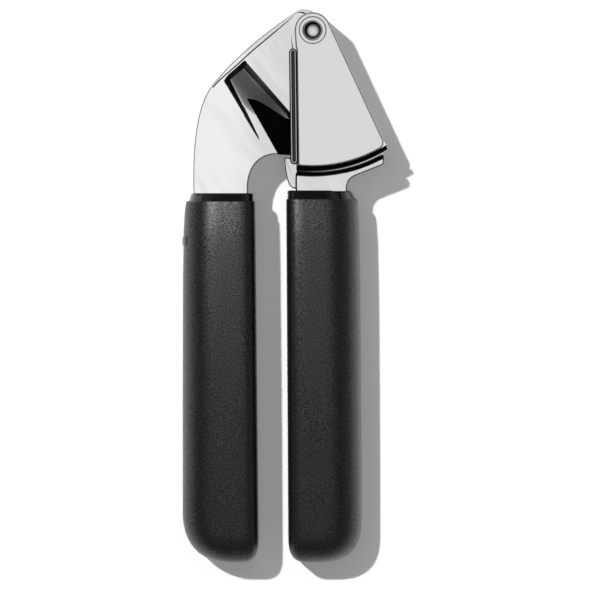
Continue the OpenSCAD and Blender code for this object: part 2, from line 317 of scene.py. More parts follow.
def finished(made, colour, roughness, metallic=0.0, **sockets):
    """Gives a material its one Principled shader. The colour is linear red, green and blue, or a socket."""
    if not isinstance(colour, bpy.types.NodeSocket):
        colour = (*colour, 1.0)
    shader = add(made.node_tree, "ShaderNodeBsdfPrincipled", {
        "Base Color": colour, "Roughness": roughness, "Metallic": metallic, **sockets})
    add(made.node_tree, "ShaderNodeOutputMaterial", {"Surface": shader})
    return made


def brushed_stainless(looks):
    """Stainless sheet, belt-brushed along the press: lines 0.6 mm apart blur the reflections across them.
    The real lines are finer, and are drawn as coarse as they need to be to show."""
    made, tree, place = blank("brushed_stainless_sheet")
    lines = add(tree, "ShaderNodeMapping", {"Vector": place, "Scale": (1 / 0.0006, 1 / 0.03, 1 / 0.0006)})
    grain = add(tree, "ShaderNodeTexNoise", {"Vector": lines, "Scale": 1.0, "Detail": 3.0})
    rough = add(tree, "ShaderNodeMapRange", {"Value": grain, "To Min": 0.1, "To Max": 0.19})
    bump = add(tree, "ShaderNodeBump", {"Height": grain, "Distance": 0.002 * MM, "Strength": 0.5})
    return finished(made, looks.steel, rough.outputs[0], 1.0, Normal=bump)


def polished_chrome(looks):
    """Chrome plate on polished steel: a clear mirror that shows the room as bright and dark bands."""
    return finished(blank("polished_chrome_plate")[0], looks.chrome, 0.08, 1.0)


def satin_casting(looks):
    """Zinc casting, tumbled smooth and satin chrome plated: soft reflections over 12 mm wide swells."""
    made, tree, place = blank("satin_chrome_casting")
    swell = add(tree, "ShaderNodeTexNoise", {"Vector": place, "Scale": 1 / 0.012, "Detail": 1.0})
    bump = add(tree, "ShaderNodeBump", {"Height": swell, "Distance": 0.05 * MM, "Strength": 0.5})
    # Painted shade: towards the head, over 16 mm, the chrome turns to the darker satin tone, standing in for
    # darker reflections there; slanting streaks left by the tumbling vary it at random
    across = add(tree, "ShaderNodeSeparateXYZ", {0: place})
    head = (PIVOT[0] - 12) * MM
    head_shade = add(tree, "ShaderNodeMapRange", {"Value": across, "From Min": head - 16 * MM, "From Max": head})
    slanted = add(tree, "ShaderNodeMapping", {"Vector": place, "Rotation": (0, 0, math.radians(-35))})
    stretched = add(tree, "ShaderNodeMapping", {"Vector": slanted, "Scale": (1 / 0.003, 1 / 0.02, 1 / 0.003)})
    noise = add(tree, "ShaderNodeTexNoise", {"Vector": stretched, "Scale": 1.0, "Detail": 2.0})
    streak = add(tree, "ShaderNodeMapRange", {"Value": noise, "To Min": -0.8, "To Max": 0.8})
    shade = add(tree, "ShaderNodeMath", {0: head_shade, 1: streak}, operation="ADD", use_clamp=True)
    tone = add(tree, "ShaderNodeMix", {0: shade, 6: (*looks.chrome, 1), 7: (*looks.satin, 1)},
               data_type="RGBA")
    return finished(made, tone.outputs[2], 0.12, 1.0, Normal=bump)


def rim_chrome_shaded(looks):
    """The same plate on the end wall's rim, with painted shade: dark at the mouth, brighter over 18 mm
    towards the screen.
    """
    made, tree, place = blank("rim_chrome_painted_shade")
    across = add(tree, "ShaderNodeSeparateXYZ", {0: place})
    dull = (PIVOT[0] - 2) * MM
    bright = add(tree, "ShaderNodeMapRange", {"Value": across, "From Min": dull, "From Max": dull + 18 * MM})
    tone = add(tree, "ShaderNodeMix", {0: bright, 6: (*looks.shaded, 1), 7: (*looks.chrome, 1)},
               data_type="RGBA")
    return finished(made, tone.outputs[2], 0.1, 1.0)


def shaded_groove(looks):
    """Groove along the chromed rail, darkened with painted shade, with drawn lines 0.3 mm apart along it."""
    made, tree, place = blank("shaded_groove")
    lines = add(tree, "ShaderNodeMapping", {"Vector": place, "Scale": (1 / 0.0003, 1 / 0.02, 1 / 0.0003)})
    drawn = add(tree, "ShaderNodeTexNoise", {"Vector": lines, "Scale": 1.0, "Detail": 2.0})
    bump = add(tree, "ShaderNodeBump", {"Height": drawn, "Distance": 0.05 * MM, "Strength": 0.6})
    return finished(made, looks.groove_shade, 0.3, 1.0, Normal=bump)


def painted_deep_shade(looks):
    """Painted shade for deep pockets, grooves and gaps: dull and nearly black."""
    return finished(blank("deep_shade_paint")[0], looks.deep_shade, 0.45, 1.0)


def shaded_wall(looks):
    """Steep walls of the same casting, darkened with painted shade and mottled by grains about 0.6 mm across.
    """
    made, tree, place = blank("shaded_wall")
    grain = add(tree, "ShaderNodeTexNoise", {"Vector": place, "Scale": 1 / 0.0006, "Detail": 2.0})
    bump = add(tree, "ShaderNodeBump", {"Height": grain, "Distance": 0.12 * MM, "Strength": 0.8})
    bright = add(tree, "ShaderNodeMapRange", {"Value": grain, "From Min": 0.35, "From Max": 0.65})
    tone = add(tree, "ShaderNodeMix", {0: bright, 6: (*looks.deep_shade, 1), 7: (*looks.cast, 1)},
               data_type="RGBA")
    return finished(made, tone.outputs[2], 0.32, 1.0, Normal=bump)


def ground_steel(looks):
    """Ground steel pin stock: marks from grinding, about 0.4 mm apart."""
    made, tree, place = blank("ground_steel_pin")
    grind = add(tree, "ShaderNodeTexNoise", {"Vector": place, "Scale": 1 / 0.0004, "Detail": 2.0})
    rough = add(tree, "ShaderNodeMapRange", {"Value": grind, "To Min": 0.18, "To Max": 0.32})
    return finished(made, looks.pin, rough.outputs[0], 1.0)


def natural_nylon(looks):
    """Turned natural nylon washer: milky and a little glossy."""
    return finished(blank("natural_nylon")[0], looks.nylon, 0.45, IOR=1.53)


def sintered_bronze(looks):
    """Pressed and sintered bronze bush: dull, with pores about 0.2 mm apart."""
    made, tree, place = blank("sintered_bronze")
    pores = add(tree, "ShaderNodeTexNoise", {"Vector": place, "Scale": 1 / 0.0002, "Detail": 2.0})
    bump = add(tree, "ShaderNodeBump", {"Height": pores, "Distance": 0.02 * MM, "Strength": 0.4})
    return finished(made, looks.bronze, 0.42, 1.0, Normal=bump)


def gloss_plastic(looks):
    """Glass-filled nylon moulded in a polished tool: deep black with a sharp gloss."""
    return finished(blank("gloss_moulded_plastic")[0], looks.gloss_black, 0.18, IOR=1.5)


def soft_grip(looks):
    """Thermoplastic rubber moulded in a spark-eroded tool: a 0.4 mm grain that greys the surface.
    The grain's peaks are glossier than its pits."""
    made, tree, place = blank("soft_moulded_rubber")
    grain = add(tree, "ShaderNodeTexNoise", {
        "Vector": place, "Scale": 1 / 0.0004, "Detail": 2.0, "Roughness": 0.6})
    rough = add(tree, "ShaderNodeMapRange", {"Value": grain, "To Min": 0.34, "To Max": 0.44})
    gloss = add(tree, "ShaderNodeMapRange", {
        "Value": grain, "From Min": 0.35, "From Max": 0.65, "To Min": 0.15, "To Max": 0.85})
    bump = add(tree, "ShaderNodeBump", {"Height": grain, "Distance": 0.05 * MM, "Strength": 0.6})
    return finished(made, looks.soft_black, rough.outputs[0],
                    **{"IOR": 1.5, "Specular IOR Level": gloss, "Normal": bump})


def once(maker, looks):
    """The material that a maker gives, made only the first time."""
    if maker.__name__ not in MADE:
        MADE[maker.__name__] = maker(looks)
    return MADE[maker.__name__]


MADE = {}


# ---- Hopper --------------------------------------------------------------------------------

def cheek_outline(corner_r):
    """Anticlockwise outline of a cheek plate: ear, mouth edge beside the rail, curved lower edge,
    rounded corner, and the straight side that touches the ear's circle."""
    out = EAR_R - corner_r
    along = math.sqrt((CHEEK_R - corner_r) ** 2 - out ** 2)
    corner = off_screen(along, out)
    toward = math.degrees(math.atan2(corner[1], corner[0]))
    ear = arc((0, 0), EAR_R, SCREEN_TURN + 90, 182, 70)
    mouth = np.array([[-5.45, -5.5], MOUTH_TOP, MOUTH_END])
    lower = arc((0, 0), CHEEK_R, math.degrees(math.atan2(MOUTH_END[1], MOUTH_END[0])), toward, 80)
    round_corner = arc(corner, corner_r, toward, SCREEN_TURN + 90, 12)
    return softened(joined(ear, mouth, lower, round_corner), 0.8, 0.4)


def cheek_rings(edge_r, corner_r):
    """A closed loop of rings: out over the top face, round the edge, back over the inner face, and up through
    the pin's hole and the washer's seat. Circles use the outline's own directions from the pivot."""
    outline = cheek_outline(corner_r)
    way = outline / np.linalg.norm(outline, axis=1)[:, None]

    def circle(radius, level):
        return np.concatenate([way * radius, np.full((len(way), 1), level)], 1)[None]

    edge = stacked(outline, rounded(CHAMBER_HALF, CHEEK_TOP, edge_r))
    return np.concatenate([
        circle(PIN_R, CHAMBER_HALF), circle(3.4, CHAMBER_HALF), edge, circle(SEAT_R + 0.25, CHEEK_TOP),
        circle(SEAT_R + 0.08, CHEEK_TOP), circle(SEAT_R, CHEEK_TOP - 0.08),
        circle(SEAT_R, SEAT_LEVEL), circle(PIN_R, SEAT_LEVEL)])


def stadium(p, q, r, steps=14):
    """Anticlockwise slot outline between two points, with round ends."""
    heading = math.degrees(math.atan2(q[1] - p[1], q[0] - p[0]))
    ends = arc(q, r, heading - 90, heading + 90, steps), arc(p, r, heading + 90, heading + 270, steps)
    return spaced(joined(*ends), 0.25, closed=True)


def wall_sweep(profile, left_x, steps=90):
    """Carries a closed (radius, level) profile along the end wall. Each radius has its own first and last
    angle, where its circle meets the mouth line x = left_x and the screen's side."""
    r, z = np.array(profile, float).T
    first = -np.pi + np.arccos(-left_x / r)
    last = np.radians(SCREEN_TURN) + np.arcsin(EAR_R / r)
    t = np.linspace(0, 1, steps + 1)[:, None]
    angle = first + (last - first) * t
    return np.stack([r * np.cos(angle), r * np.sin(angle), np.broadcast_to(z, angle.shape)], 2)


# ---- Lever ---------------------------------------------------------------------------------

def meet(curve, start, end):
    """Length along a curve where it crosses the straight line through two points."""
    along = lengths(curve)
    way = np.subtract(end, start)
    side = way[0] * (curve[:, 1] - start[1]) - way[1] * (curve[:, 0] - start[0])
    k = np.where(side[:-1] * side[1:] <= 0)[0][0]
    return along[k] + (along[k + 1] - along[k]) * side[k] / (side[k] - side[k + 1])


def meet_each(starts, ways, curve):
    """Distance from each start along its own way to where it crosses one curve, or nan if it doesn't."""
    gap = curve[None] - starts[:, None]
    side = ways[:, None, 0] * gap[..., 1] - ways[:, None, 1] * gap[..., 0]
    crosses = side[:, :-1] * side[:, 1:] <= 0
    k = crosses.argmax(1)
    rows = np.arange(len(starts))
    part = side[rows, k] / (side[rows, k] - side[rows, k + 1])
    point = curve[k] + (curve[k + 1] - curve[k]) * part[:, None]
    return np.where(crosses.any(1), ((point - starts) * ways).sum(1), np.nan)


def inward_normals(curve, side):
    """Unit normals of an open curve, on the left for side 1 and on the right for side -1."""
    way = np.gradient(curve, axis=0)
    way /= np.linalg.norm(way, axis=1)[:, None]
    return side * np.stack([-way[:, 1], way[:, 0]], 1)


# The throat between the lever and the hopper: centre, half widths and exponent of its superellipse
THROAT = (-11.1, -51.3), 9.7, 11.3, 2.3
LEVER_TIP = off_screen(TIP_R - 1.2, -9)


def moved(edge, normal, first, last):
    """An edge with its two points moved along a normal by their own amounts."""
    return np.array(edge[0]) + normal * first, np.array(edge[1]) + normal * last


# The scoop's two long edges and the well's edge, each as two points on it, and the foot of each one's wall
EDGE_LOW = ((-28.6, -16.3), (-16.7, -36.4))
EDGE_WELL = ((-20.6, -23.1), (-11.6, -39.2))
EDGE_HIGH = ((-21.8, -9.7), (-7.1, -26.6))
NORMAL_LOW = np.array([0.8605, 0.5094])
LOW_IN = moved(EDGE_LOW, NORMAL_LOW, 2.0, 0.35)
WELL_IN = moved(EDGE_WELL, np.array([0.873, 0.488]), 0.6, 0.5)
HIGH_IN = moved(EDGE_HIGH, np.array([-0.7545, -0.656]), 2.1, 1.15)

# The grid's line at each of those edges, at the mouth's tip and in the nose
LINES = np.cumsum([0, 100, 7, 11, 5, 26, 8, 12, 60])
_, AT_LOW, AT_LOW_IN, AT_WELL, AT_WELL_IN, AT_HIGH_IN, AT_HIGH, AT_TIP, AT_NOSE = LINES

# Roundings along the lever's outer and inner edges
OUTER_R = 0.4
INNER_R = 0.5
# The ledge starts at x = LEDGE_X and has its full width and drop LEDGE_RUN further on
LEDGE_X = -33.5
LEDGE_RUN = 9.0
LEDGE_DROP = 0.7
LEDGE_WALL = 0.4
# Scoop and well: widths of their end walls, the scoop's level strip and the slope of its floor
END_BULGE = 0.7
END_WALL = 1.7
WELL_WALL = 0.6
STRIP = 5.6
FALL = 0.33
DEEPEST = 7.5
# Directions from the pivot, in degrees, between which the body ends in an arc inside the nose's ring
NOSE_ARC = 84, 267
# Least cosine that a width across an edge is divided by
LEAST_LEAN = 0.5
# Where less than this is left of the face, the zones share it out instead of keeping their widths
NARROW_FACE = 8.0
# The well's brim moves to this share of each line over the first lines past the mouth's tip
NOSE_MIDDLE = 0.6
NOSE_LEAD = 20
# Rows of faces across each zone between the outer rounding, RIM_ROWS, and the inner one
RIM_ROWS = 8
LEDGE_ROWS = 3
WALL_ROWS = 6
ZONE_ROWS = 7, 8, 34, 5, 40


def lever_lines():
    """Both ends of straight lines across the lever, from its outer edge to its inner one. A line runs along
    each edge of the scoop and the well, and the others are spread evenly between."""
    outer = joined(cubic([[-38.4, LEVER_END], [-39.1, -28.7], [-34.8, -21.4], [-33.5, -19.4]], 120),
                   cubic([[-33.5, -19.4], [-28.5, -11.6], [-14.6, 0.35], [-4.6, 6.35]], 160),
                   cubic([[-4.6, 6.35], [-3.6, 6.95], [-1.6, 6.85], [0.6, 5.72]], 40))
    inner = joined([[-20.8, LEVER_END]], superellipse(*THROAT, 180, 90, 120),
                   arc((0, 0), TIP_R, -100, -82, 40), LEVER_TIP, off_screen(10, -9), [[-0.31, -5.74]])
    outer_at, inner_at = [0], [0]
    for edge in (EDGE_LOW, LOW_IN, EDGE_WELL, WELL_IN, HIGH_IN, EDGE_HIGH):
        outer_at.append(meet(outer, *edge))
        inner_at.append(meet(inner, *edge))
    tip = np.linalg.norm(inner - LEVER_TIP, axis=1).argmin()
    outer_at += [outer_at[-1] + 3.5, lengths(outer)[-1]]
    inner_at += [lengths(inner)[tip], lengths(inner)[-1]]
    every = np.arange(AT_NOSE + 1)
    return (at_length(outer, np.interp(every, LINES, outer_at)),
            at_length(inner, np.interp(every, LINES, inner_at)))


def brim_curve():
    """The well's brim: a hyperbola below the scoop's upper end, then a cubic to the mouth."""
    x = np.linspace(-24.5, -7.6, 60)
    u = x + 18.6
    upper = np.stack([x, -22.4 - 0.42 * (np.sqrt(u * u + 12) - 3.46) - 0.30 * u], 1)
    return np.vstack([upper, cubic([upper[-1], [-5.6, -30.6], [-1.5, -35.2], [1.6, -38.8]], 30)])


def lever_zones(o, i, way, long, ledge_w, ledge):
    """Distances along each line to the ends of its zones: rounding, ledge, ledge's wall, face, scoop's end
    wall, floor, well's wall, and the inner rounding's start. A width square to an edge is divided by the
    cosine between the line and the edge's normal. Where the face is narrow the zones share it out."""
    every = np.arange(len(o))
    outer_lean = np.maximum((way * inward_normals(o, -1)).sum(1), LEAST_LEAN)
    inner_lean = np.maximum(-(way * inward_normals(i, 1)).sum(1), LEAST_LEAN)
    rim = OUTER_R / outer_lean
    step = rim + (ledge_w - 0.3) * ledge / outer_lean
    face = step + LEDGE_WALL / outer_lean
    reach = np.interp(every, [AT_LOW, AT_HIGH], [np.linalg.norm(EDGE_LOW[0] - o[AT_LOW]),
                                                 np.linalg.norm(EDGE_HIGH[0] - o[AT_HIGH])])
    bulge = END_BULGE * np.sin(np.pi * np.clip((every - AT_LOW) / (AT_HIGH - AT_LOW), 0, 1))
    end = np.maximum(reach - bulge, face + 0.3)
    floor = end + END_WALL
    inner = long - INNER_R / inner_lean
    brim = meet_each(o, way, brim_curve())
    known = (every >= AT_LOW_IN) & (every <= AT_HIGH_IN) & ~np.isnan(brim)
    brim = np.interp(every, every[known], brim[known])
    nose = smooth_step((every - AT_TIP) / NOSE_LEAD)
    brim = brim * (1 - nose) + nose * long * NOSE_MIDDLE
    brim = np.clip(brim, floor + 1.0, inner - 1.2)
    knots = [face, end, floor, brim, brim + WELL_WALL, inner]
    for k, share in enumerate((0.12, 0.3, 0.6, 0.7), 1):
        knots[k] = np.where(inner - face < NARROW_FACE, face + (inner - face) * share, knots[k])
    return rim, step, knots, end, floor


def lever_rows(rim, step, knots, long, ledge):
    """Distance along each line and drop below the face, row by row: a quarter round, the ledge, a wall that
    rises as (1 - t)^1.5, the level zones, and a quarter round at the inner edge."""
    w = np.radians(np.linspace(0, 90, RIM_ROWS + 1))
    low = LEDGE_DROP * ledge
    face, inner = knots[0], knots[-1]
    rows = [(rim * (1 - math.cos(turn)), OUTER_R * (1 - math.sin(turn)) + low) for turn in w]
    rows += [(rim + (step - rim) * t, low) for t in (0.34, 0.67, 1.0)]
    rows += [(step + (face - step) * t, low * (1 - t) ** 1.5) for t in np.linspace(0, 1, WALL_ROWS + 1)[1:]]
    for count, a, b in zip(ZONE_ROWS, knots[:-1], knots[1:]):
        rows += [(a + (b - a) * t, 0 * a) for t in np.linspace(0, 1, count + 1)[1:]]
    rows += [(long - (long - inner) * (1 - math.cos(turn)), 0 * long + INNER_R * (1 - math.sin(turn)))
             for turn in w[::-1][1:]]
    return np.array(rows).transpose(1, 0, 2)


def scoop_relief(plan, s, end, floor, q, scoop):
    """Depth of the scoop. Its wall on the low side shrinks to nothing. From there a level strip, which widens
    downwards, and then a floor that falls towards the head; a soft corner, log(1 + e^x), joins the two."""
    across = np.interp(np.arange(s.shape[1]), [AT_LOW, AT_LOW_IN, AT_HIGH_IN, AT_HIGH], [0, 1, 1, 0])
    ends = np.clip((s - end) / (floor - end), 0, 1)
    reached = ((plan - LOW_IN[0]) * NORMAL_LOW).sum(2)
    flat = STRIP * smooth_step((q - 0.3) / 0.75)
    corner = 0.35 + 1.1 * q
    beyond = corner * np.logaddexp(0, (reached - flat) / corner)
    return across * ends * np.minimum(scoop * (1 - q) + FALL * beyond, DEEPEST)


def lever_shade_marks(q, ledge):
    """Material of each face: 0 satin, 1 painted shade on the steep walls, 2 near-black painted shade in the
    well.
    """
    skin = np.zeros((q.shape[0] - 1, q.shape[1] - 1), int)
    wall = RIM_ROWS + LEDGE_ROWS
    end = wall + WALL_ROWS + ZONE_ROWS[0]
    floor = end + ZONE_ROWS[1]
    well = floor + ZONE_ROWS[2]
    skin[wall:wall + WALL_ROWS, ledge[1:] > 0.04] = 1
    skin[end:floor, AT_LOW:AT_HIGH] = 1
    skin[floor:, AT_LOW:AT_LOW_IN] = q[floor + 1:, AT_LOW:AT_LOW_IN] < 0.96
    skin[floor:, AT_HIGH_IN:AT_HIGH] = 1
    skin[well:, AT_WELL:AT_HIGH_IN] = 2
    return skin


def lever_grid(ledge_w, scoop, well):
    """The lever's plan as a grid on straight lines from its outer edge to its inner one, so that each edge of
    the scoop and the well lies on it. Returns its points, their depth below the face and each face's
    material, with painted shade on the steep walls and in the well."""
    o, i = lever_lines()
    every = np.arange(len(o))
    way = i - o
    long = np.linalg.norm(way, axis=1)
    way /= long[:, None]
    ledge = smooth_step((o[:, 0] - LEDGE_X) / LEDGE_RUN)
    rim, step, knots, end, floor = lever_zones(o, i, way, long, ledge_w, ledge)
    s, drop = lever_rows(rim, step, knots, long, ledge)
    plan = o[None] + s[..., None] * way[None]

    # The last lines bend into an arc inside the nose's ring
    v = (s / long)[:, -1]
    turn = np.radians(NOSE_ARC[0] + (NOSE_ARC[1] - NOSE_ARC[0]) * v)
    ring = (NOSE_R - 0.6 * np.sin(np.pi * v))[:, None] * np.stack([np.cos(turn), np.sin(turn)], 1)
    bend = ring - (o[-1] + v[:, None] * (i[-1] - o[-1]))
    weight = np.clip((every - AT_TIP) / (AT_NOSE - AT_TIP), 0, 1) ** 3
    plan += weight[None, :, None] * bend[:, None]

    # How far down the scoop each point lies, and how far down the well's wall
    q = np.clip((s - floor) / (np.linalg.norm(np.subtract(*EDGE_LOW)) - END_WALL), 0, 1)
    below = (np.interp(every, [AT_WELL, AT_WELL_IN, AT_HIGH_IN, AT_HIGH], [0, 1, 1, 0])
             * np.clip((s - knots[3]) / (knots[4] - knots[3]), 0, 1))
    relief = scoop_relief(plan, s, end, floor, q, scoop)
    relief = relief * (1 - below) + np.maximum(relief, well) * below
    return plan, drop + relief, lever_shade_marks(q, ledge)


def lever_shell(*depths):
    """Two mirrored copies of the grid closed into one tube from the handle's end to the nose."""
    plan, depth, skin = lever_grid(*depths)
    top = np.concatenate([plan, (LEVER_TOP - depth)[..., None]], 2)
    loop = np.concatenate([top, mirrored(top)]).transpose(1, 0, 2)
    side = np.zeros((1, skin.shape[1]), int)
    return loop, np.concatenate([skin, side, skin[::-1], side]).T.ravel()


# ---- Handles -------------------------------------------------------------------------------

BOTTOM = -171.5
GRIP_WALL = 3.0
# How far the collars' faces lie below the grips' full half thickness at their foot, and how much more at
# their top
COLLAR_INSET = 0.9
COLLAR_SLOPE = 1.3
# For each handle: its outer side (+1 or -1 in x), the grip's top, the exponents of its section's right and
# left halves, the (x, y) points of its edges, its lower corners as (width, height, exponent) for inner edge,
# outer edge and thickness, and the collar's inner x, outer x and y, at its top and at its foot
RIGHT = dict(
    side=1, top=-54.3, exponents=(2.5, 6.5), edge_in=[(-8.5, -54.3), (-7.8, BOTTOM)],
    edge_out=[(14.4, -54.3), (14.75, -57.5), (15.05, -63), (15.35, -80), (15.6, -110), (15.8, -140),
              (15.9, BOTTOM)],
    corners=((7, 9, 3.0), (15, 15, 2.65), (9, 10, 2.4)),
    collar=((-8.1, 12.4, NECK_END), (-8.1, 14.0, -54.3)))
LEFT = dict(
    side=-1, top=-55.0, exponents=(6.5, 2.6), edge_in=[(-18.5, -55.0), (-17.3, BOTTOM)],
    edge_out=[(-40.8, -55.0), (-41.25, -58.5), (-41.55, -64), (-41.8, -80), (-41.9, -120), (-41.9, BOTTOM)],
    corners=((7, 9, 3.0), (16, 17, 2.4), (9, 10, 2.4)),
    collar=((-18.9, -39.1, LEVER_END), (-18.9, -39.9, -55.0)))


def oval(right, left, steps=96):
    """Unit superellipse with its own exponent on each side, anticlockwise: x = cos^(2/n), z = sin^(2/n),
    spaced evenly in length."""
    head_shade = np.vstack([superellipse((0, 0), 1, 1, right, -90, 90, steps * 4)[:-1],
                       superellipse((0, 0), 1, 1, left, 90, 270, steps * 4)[:-1]])
    total = lengths(np.vstack([head_shade, head_shade[:1]]))[-1]
    return spaced(head_shade, total / steps, closed=True)


def handle_edges(plan, y):
    """Inner edge, outer edge and what is off the half thickness of a grip at each y. The lower corners are
    superellipses, so an edge moves in by a(1 - (1 - t^n)^(1/n)), where t is how far the corner has run. The
    grip also thins towards its top and its bottom, by the square of the distance."""
    def taken(a, b, n):
        t = np.clip((BOTTOM + b - y) / b, 0, 1)
        return a * (1 - (1 - t ** n) ** (1 / n))

    def edge(points):
        x, along = np.array(points).T
        return np.interp(-y, -along, x)

    inward, outward, end = (taken(*corner) for corner in plan["corners"])
    thin = end + 0.6 * np.clip((y + 70) / 14, 0, 1) ** 2 + 1.2 * np.clip((-100 - y) / 70, 0, 1) ** 2
    inner = edge(plan["edge_in"]) + plan["side"] * inward
    outer = edge(plan["edge_out"]) - plan["side"] * outward
    return inner, outer, thin


def handle_rings(plan, y, inset):
    """Carries the plan's section along the grip at each y, inset by a wall's thickness."""
    section = oval(*plan["exponents"])
    inner, outer, thin = handle_edges(plan, y)
    half_width = np.abs(outer - inner) / 2 - inset
    x = ((inner + outer) / 2)[:, None] + half_width[:, None] * section[:, 0]
    z = (GRIP_HALF - inset - thin)[:, None] * section[:, 1]
    return np.stack([x, np.broadcast_to(y[:, None], x.shape), z], 2)


def grip_shell(plan, rim_r):
    """Sleeve open at its top: up the outside, over a rounded rim, down the inside, closed at the bottom."""
    near = BOTTOM + 17 * (1 - np.cos(np.linspace(0, np.pi / 2, 26)))
    near[0] = BOTTOM + 0.004
    along = np.concatenate([near, np.linspace(near[-1], plan["top"] - 1.5, 60)[1:]])
    down = along[along > BOTTOM + GRIP_WALL + 0.5][::-1]
    w = np.linspace(0, np.pi / 2, 6)
    y = np.concatenate([along, plan["top"] - rim_r * (1 - np.sin(w)), [plan["top"]], down])
    inset = np.concatenate([0 * along, rim_r * (1 - np.cos(w)), [GRIP_WALL - 0.3], 0 * down + GRIP_WALL])
    return handle_rings(plan, y, inset)[:, ::-1]


def core_shell(plan, edge_r):
    """Hard core: a plain tube inside the grip, and a tapered collar above it with a rounded top edge."""
    low = np.concatenate([np.linspace(BOTTOM + GRIP_WALL + 1, -155, 8),
                          np.linspace(-150, plan["top"] - 1, 14)])
    (x0, x1, top), (x2, x3, foot) = plan["collar"]
    w = np.linspace(0, np.pi / 2, 7)[1:]
    y = np.concatenate([np.linspace(foot, top - edge_r, 8), top - edge_r * (1 - np.sin(w)), [top]])
    inset = np.concatenate([np.zeros(8), edge_r * (1 - np.cos(w)), [edge_r + 0.4]])
    up = (y - foot) / (top - foot)
    left, right = x2 + (x0 - x2) * up, x3 + (x1 - x3) * up
    section = oval(*plan["exponents"])
    x = ((left + right) / 2)[:, None] + (np.abs(right - left) / 2 - inset)[:, None] * section[:, 0]
    z = (GRIP_HALF - COLLAR_INSET - COLLAR_SLOPE * up - inset)[:, None] * section[:, 1]
    collar = np.stack([x, np.broadcast_to(y[:, None], x.shape), z], 2)
    return np.concatenate([handle_rings(plan, low, GRIP_WALL + 0.02), collar])[:, ::-1]


def block(x0, x1, y0, y1, half):
    """A plain bar between two levels, even on both sides of the middle plane."""
    outline = np.array([[x0, y0], [x1, y0], [x1, y1], [x0, y1]], float)
    return stacked(outline, [(0, -half), (0, half)])


# ---- Sizes and colours that can be changed ---------------------------------------------------

def length(name, millimetres, description):
    """A length property, kept in metres."""
    return FloatProperty(name=name, default=millimetres * MM, unit="LENGTH", precision=5,
                         description=description)


def colour(name, hex_colour, description):
    """A colour property, kept linear."""
    return FloatVectorProperty(name=name, default=linear(hex_colour), subtype="COLOR", min=0, max=1,
                               description=description)


class PressSizes(bpy.types.PropertyGroup):
    """Edge roundings and depths, which the frame leaves open"""
    cheek_edge: length("Cheek edge", 0.5, "Rounding of the cheek plates' edges")
    cheek_corner: length("Cheek corner", 2.2, "Radius of the cheek's lower outer corner")
    rail_groove: length("Rail groove", 0.5, "Depth of the groove along each mouth rail")
    arm_edge: length("Arm edge", 0.35, "Rounding of the hopper arm's edges")
    lever_ledge: length("Lever ledge", 1.3, "Width of the ledge along the lever's outer edge near the head")
    scoop_depth: length("Scoop depth", 1.8, "Depth of the lever's scoop at its low side")
    well_depth: length("Well depth", 9.2, "Depth of the well in the scoop")
    grip_rim: length("Grip rim", 0.4, "Rounding of the grips' open rim")
    collar_edge: length("Collar edge", 0.4, "Rounding of the collars' upper edge")


class PressLooks(bpy.types.PropertyGroup):
    """Base colours of the finishes"""
    steel: colour("Stainless steel", "#bbbbbb", "Brushed cheek plates, washers and screen")
    chrome: colour("Chrome", "#cecece", "Rails, end wall, arm and lever")
    # Painted shade: this darker tone is mixed in towards the head, and at random in streaks
    satin: colour("Dense satin", "#b9b9b9", "Arm and lever towards the head")
    # Painted shade on the steep walls of the lever's scoop and ledge
    cast: colour("As cast", "#4c4c4e", "Steep walls of the lever's scoop")
    # Painted shade in the groove along each mouth rail
    groove_shade: colour("Rolled groove", "#6a6a6c", "Groove along each mouth rail")
    # Painted shade: the dark end of the rim by the mouth
    shaded: colour("Thin plate", "#3a3a3b", "End of the rim that the belt hardly reaches")
    # Painted shade: near black in the lever's well and in grooves and gaps
    deep_shade: colour("Pocket", "#0a0a0a", "Unplated skin deep in the lever")
    pin: colour("Pin steel", "#c2c2c6", "Pin, dowels and screws")
    nylon: colour("Nylon", "#ecebe6", "Spacer washers")
    bronze: colour("Bronze", "#c79a5c", "Bush")
    gloss_black: colour("Gloss plastic", "#0b0b0c", "Handle cores")
    soft_black: colour("Soft rubber", "#121213", "Grips")


# ---- Operators -----------------------------------------------------------------------------

class BuildCheeks(bpy.types.Operator):
    """Builds the two fan-shaped cheek plates"""
    bl_idname = "press.cheeks"
    bl_label = "Cheek plates"

    def execute(self, context):
        sizes, looks = context.scene.press_sizes, context.scene.press_looks
        rings = cheek_rings(sizes.cheek_edge / MM, sizes.cheek_corner / MM)
        steel = once(brushed_stainless, looks)
        piece("cheek_plate_front", [shell(rings, loop=True)], HOPPER_SIDE, "satin_steel",
              steel, "front_cheek")
        piece("cheek_plate_rear", [shell(mirrored(rings), loop=True)], HOPPER_SIDE, "satin_steel",
              steel, "rear_cheek")
        return {"FINISHED"}


class BuildRails(bpy.types.Operator):
    """Builds the grooved rail along each side of the mouth"""
    bl_idname = "press.rails"
    bl_label = "Mouth rails"

    def execute(self, context):
        sizes, looks = context.scene.press_sizes, context.scene.press_looks
        top = half_of("mouth_rails")
        groove = top - sizes.rail_groove / MM
        profile = [(0.0, CHAMBER_HALF), (0.0, top - 0.75), (0.0, top - 0.37), (0.03, top - 0.32),
                   (0.33, top - 0.03), (0.37, top), (0.6, top), (0.65, top - 0.08), (0.7, groove + 0.06),
                   (0.76, groove), (1.2, groove - 0.24)]
        start, end, radius = np.array([-6.35, -7.15]), np.array([-5.95, -41.9]), 1.25
        rings = stacked(stadium(start, end, radius), profile)
        shells = [shell(rings), shell(mirrored(rings))]
        # Painted shade by the distance from the rail's edge: a near-black border, a bright chrome line and
        # the darker groove
        middle = centres(shells)[:, :2]
        run = end - start
        along = np.clip((middle - start) @ run / (run @ run), 0, 1)
        inset = radius - np.linalg.norm(middle - start - along[:, None] * run, axis=1)
        marks = np.select([inset > 0.6, (inset > 0.005) & (inset < 0.35)], [2, 1], 0)
        piece("mouth_rails_grooved", shells, HOPPER_SIDE, "chrome", once(polished_chrome, looks),
              "mouth_rails", others=[once(painted_deep_shade, looks), once(shaded_groove, looks)], marks=marks)
        return {"FINISHED"}


